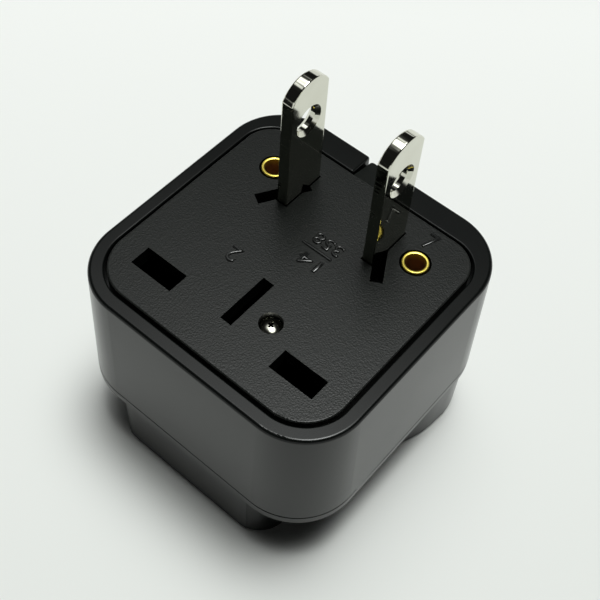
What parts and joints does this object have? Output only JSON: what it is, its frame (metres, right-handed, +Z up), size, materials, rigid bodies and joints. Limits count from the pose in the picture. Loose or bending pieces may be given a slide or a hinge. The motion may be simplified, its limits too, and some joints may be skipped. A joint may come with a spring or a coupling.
{
  "type": "travel plug adapter",
  "caption": "Cube-shaped travel plug adapter with two flat blades on its plug face and a socket face that takes plugs of several countries.",
  "frame": {"origin": "middle of the socket face, on the surface that the adapter stands on", "axes": "+Z up through the plug face and along the blades, +X across the two blades, +Y to the side with the plate's tongue"},
  "size_m": [0.038, 0.038, 0.0456],
  "materials": {
    "housing_plastic": "satin moulded",
    "plate_plastic": "spark-textured",
    "cover_plastic": "satin moulded",
    "carrier_plastic": "matte moulded",
    "screw_nickel": "nickel plated",
    "blade_nickel": "nickel plated",
    "tube_brass": "turned",
    "strip_brass": "stamped",
    "spring_bronze": "stamped spring strip"
  },
  "bodies": {
    "root": {"main_housing": "housing_plastic", "plug_face_plate": "plate_plastic", "socket_cover": "cover_plastic", "contact_carrier": "carrier_plastic", "case_screw": "screw_nickel", "blade_left": "blade_nickel", "blade_right": "blade_nickel", "round_tube_left": "tube_brass", "round_tube_right": "tube_brass", "contact_strip_left": "strip_brass", "contact_strip_right": "strip_brass", "pinch_spring_left": "spring_bronze", "pinch_spring_right": "spring_bronze", "leaf_spring_left": "spring_bronze", "leaf_spring_right": "spring_bronze"}
  },
  "joints": []
}
